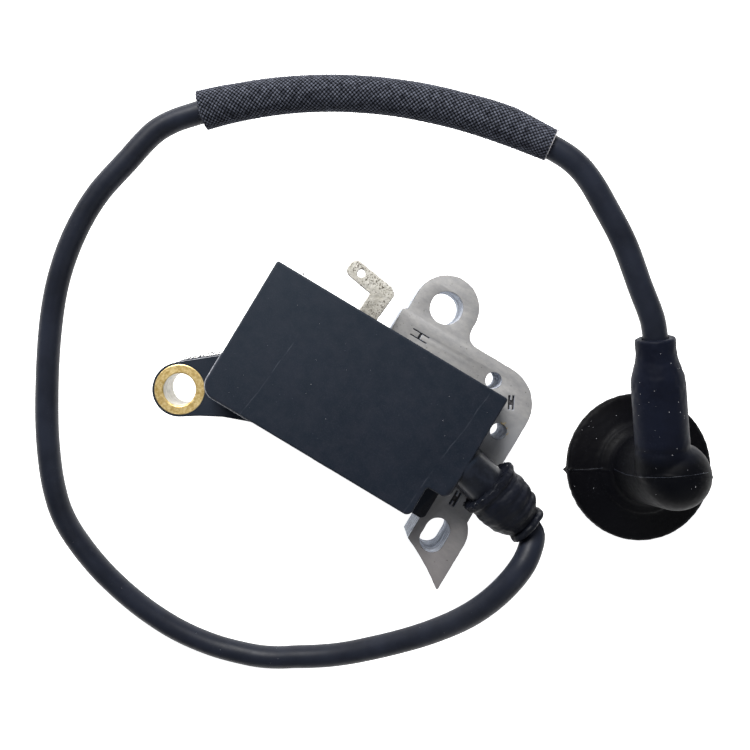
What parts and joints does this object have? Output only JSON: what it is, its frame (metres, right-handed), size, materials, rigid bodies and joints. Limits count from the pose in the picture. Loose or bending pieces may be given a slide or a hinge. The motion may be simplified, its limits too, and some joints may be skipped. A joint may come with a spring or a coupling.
{
  "type": "ignition coil",
  "caption": "Flywheel ignition module for a small two-stroke engine: potted coil block on a laminated core, with spark lead, woven sleeve and right-angle plug boot.",
  "frame": {"origin": "axis of the round fixing hole, at the back face of the lamination stack", "axes": "+X along the coil block towards the lead outlet, +Y away from the flywheel, +Z out of the engine along the fixing screws"},
  "size_m": [0.1567, 0.14, 0.0319],
  "materials": {
    "block_plastic": "satin moulded",
    "silicon_steel": "satin stamped",
    "bushing_brass": "machined",
    "tinned_brass": "tinned, dull",
    "resin": "cast epoxy",
    "bobbin_nylon": "moulded",
    "enamel_copper": "enamelled wire",
    "fine_copper": "fine enamelled wire",
    "board_laminate": "solder mask",
    "capacitor_case": "dipped film",
    "semiconductor_case": "moulded epoxy",
    "resistor_body": "lacquered",
    "tinned_wire": "tinned copper",
    "lead_rubber": "smooth extruded",
    "strand_copper": "bare strands",
    "relief_rubber": "moulded, matte",
    "woven_sleeve": "braided yarn",
    "boot_rubber": "moulded, satin",
    "spring_steel": "drawn wire"
  },
  "bodies": {
    "module": {"housing": "block_plastic", "core_laminations": "silicon_steel", "mount_bushing": "bushing_brass", "kill_terminal": "tinned_brass", "potting_resin": "resin", "charge_bobbin": "bobbin_nylon", "charge_winding": "enamel_copper", "trigger_winding": "enamel_copper", "primary_bobbin": "bobbin_nylon", "primary_winding": "enamel_copper", "secondary_bobbin": "bobbin_nylon", "secondary_winding": "fine_copper", "circuit_board": "board_laminate", "storage_capacitor": "capacitor_case", "thyristor": "semiconductor_case", "diodes": "semiconductor_case", "resistors": "resistor_body", "kill_link_wire": "tinned_wire", "ground_strap": "tinned_wire", "ht_spike": "bushing_brass", "hv_link_wire": "tinned_wire", "lead_jacket_root": "lead_rubber", "lead_core_root": "strand_copper", "strain_relief": "relief_rubber"},
    "lead_lower": {"lead_jacket_lower": "lead_rubber", "lead_core_lower": "strand_copper"},
    "lead_upper": {"lead_jacket_upper": "lead_rubber", "lead_core_upper": "strand_copper"},
    "sleeve": {"braided_sleeve": "woven_sleeve"},
    "lead_end": {"lead_jacket_end": "lead_rubber", "lead_core_end": "strand_copper"},
    "boot": {"plug_boot": "boot_rubber", "plug_contact_spring": "spring_steel"}
  },
  "joints": [
    {"name": "lead_lift", "type": "hinge", "parent": "module", "child": "lead_lower", "pos_m": [0.03962, -0.0401, 0.01795], "axis": [-0.9981, 0.0608, 0], "range_deg": [-15, 20], "stiffness_Nm_per_rad": 0.6},
    {"name": "lead_loop", "type": "hinge", "parent": "lead_lower", "child": "lead_upper", "pos_m": [-0.05327, -0.08014, -0.00006], "axis": [0, 0, 1], "range_deg": [-8, 22], "stiffness_Nm_per_rad": 0.6},
    {"name": "sleeve_slide", "type": "hinge", "parent": "lead_upper", "child": "sleeve", "pos_m": [0.00474, -0.06221, 0.00994], "axis": [0.1003, 0.0818, -0.9916], "range_deg": [-4, 1]},
    {"name": "lead_end_bend", "type": "hinge", "parent": "lead_upper", "child": "lead_end", "pos_m": [0.0174, 0.0333, 0.01798], "axis": [-0.4821, -0.8761, 0], "range_deg": [-20, 24], "stiffness_Nm_per_rad": 0.5},
    {"name": "boot_turn", "type": "hinge", "parent": "lead_end", "child": "boot", "pos_m": [0.03945, 0.01635, 0.0166], "axis": [-0.6134, 0.7724, 0.1647], "range_deg": [-40, 40]}
  ]
}
